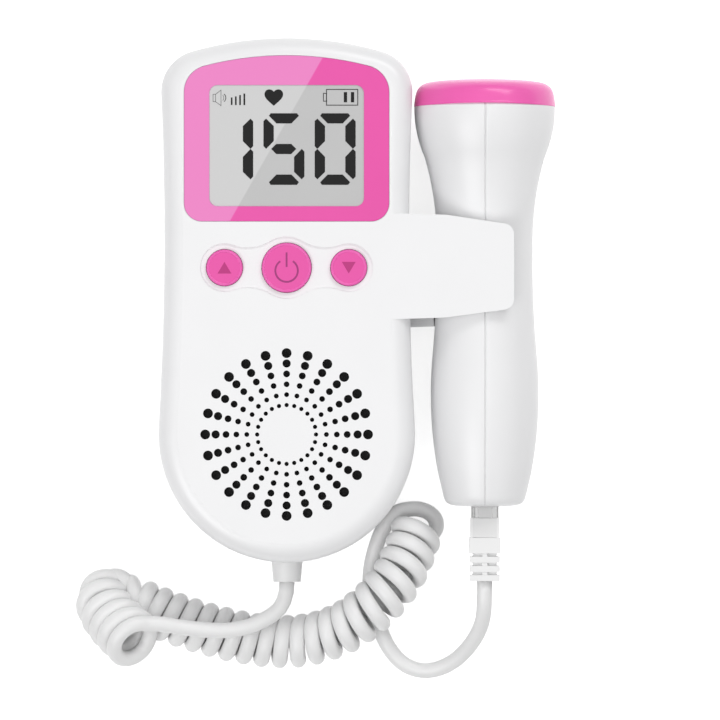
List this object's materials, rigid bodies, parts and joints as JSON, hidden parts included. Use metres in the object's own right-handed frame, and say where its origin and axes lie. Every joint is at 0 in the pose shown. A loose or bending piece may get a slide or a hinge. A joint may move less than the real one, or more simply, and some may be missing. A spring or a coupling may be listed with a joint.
{
  "type": "fetal doppler monitor",
  "caption": "Hand-held fetal heartbeat monitor with display, loudspeaker and keys; an ultrasound probe sits in its side clip on a curly lead.",
  "frame": {"origin": "middle of the unit's flat back, on its centre line", "axes": "+X to the unit's right, towards the probe; +Y to the display end; +Z out of the front face"},
  "size_m": [0.1331, 0.1775, 0.04],
  "materials": {
    "white_shell": "glossy white moulded shell",
    "pink_plastic": "glossy pink",
    "lens": "clear panel printed pink on its back",
    "lcd": "grey liquid crystal glass",
    "milky_plastic": "milky light guide",
    "silicone": "conductive strips",
    "board_green": "solder mask",
    "black_plastic": "moulded component cases",
    "dust_cloth": "black cloth",
    "steel": "pressed steel",
    "magnet": "ferrite",
    "paper_cone": "doped paper",
    "battery_can": "printed label on a steel can",
    "nickel": "nickel plate",
    "brass": "gold-plated contacts",
    "ceramic": "piezo ceramic",
    "epoxy": "filled epoxy",
    "wire": "insulated wire",
    "clear_plastic": "clear polycarbonate plug",
    "cord_skin": "white satin polyurethane sheath"
  },
  "bodies": {
    "unit": {"front_shell": "white_shell", "rear_shell": "white_shell", "display_lens": "lens", "lcd_panel": "lcd", "lcd_backlight": "milky_plastic", "lcd_connector_strips": "silicone", "main_circuit_board": "board_green", "board_components": "black_plastic", "button_switches": "steel", "speaker_cloth": "dust_cloth", "speaker_frame": "steel", "speaker_cone": "paper_cone", "speaker_magnet": "magnet", "battery_left": "battery_can", "battery_right": "battery_can", "battery_contacts": "nickel", "battery_springs": "nickel", "case_screws": "steel", "cord_gland": "cord_skin", "speaker_wires": "wire", "cord_lead": "cord_skin", "cord_coil": "cord_skin", "cord_tail": "cord_skin"},
    "power_key": {"power_button": "pink_plastic"},
    "volume_up_key": {"volume_up_button": "pink_plastic"},
    "volume_down_key": {"volume_down_button": "pink_plastic"},
    "door": {"battery_door": "white_shell"},
    "probe": {"probe_shell_left": "white_shell", "probe_shell_right": "white_shell", "probe_face_cap": "pink_plastic", "transmit_crystal": "ceramic", "receive_crystal": "ceramic", "crystal_backing": "epoxy", "probe_circuit_board": "board_green", "probe_jack": "black_plastic", "probe_wires": "wire", "plug_housing": "clear_plastic", "plug_contacts": "brass", "plug_collar": "cord_skin", "plug_boot": "cord_skin"}
  },
  "joints": [
    {"name": "power_press", "type": "slide", "parent": "unit", "child": "power_key", "axis": [0, 0, -1], "range_m": [0, 0.0008], "stiffness_N_per_m": 800, "springref_m": -0.0003},
    {"name": "volume_up_press", "type": "slide", "parent": "unit", "child": "volume_up_key", "axis": [0, 0, -1], "range_m": [0, 0.0008], "stiffness_N_per_m": 800, "springref_m": -0.0003},
    {"name": "volume_down_press", "type": "slide", "parent": "unit", "child": "volume_down_key", "axis": [0, 0, -1], "range_m": [0, 0.0008], "stiffness_N_per_m": 800, "springref_m": -0.0003},
    {"name": "door_swing", "type": "hinge", "parent": "unit", "child": "door", "pos_m": [0, 0.0558, 0.0014], "axis": [1, 0, 0], "range_deg": [0, 75]},
    {"name": "probe_slide", "type": "slide", "parent": "unit", "child": "probe", "axis": [1, 0, 0], "range_m": [0, 0.045]}
  ]
}
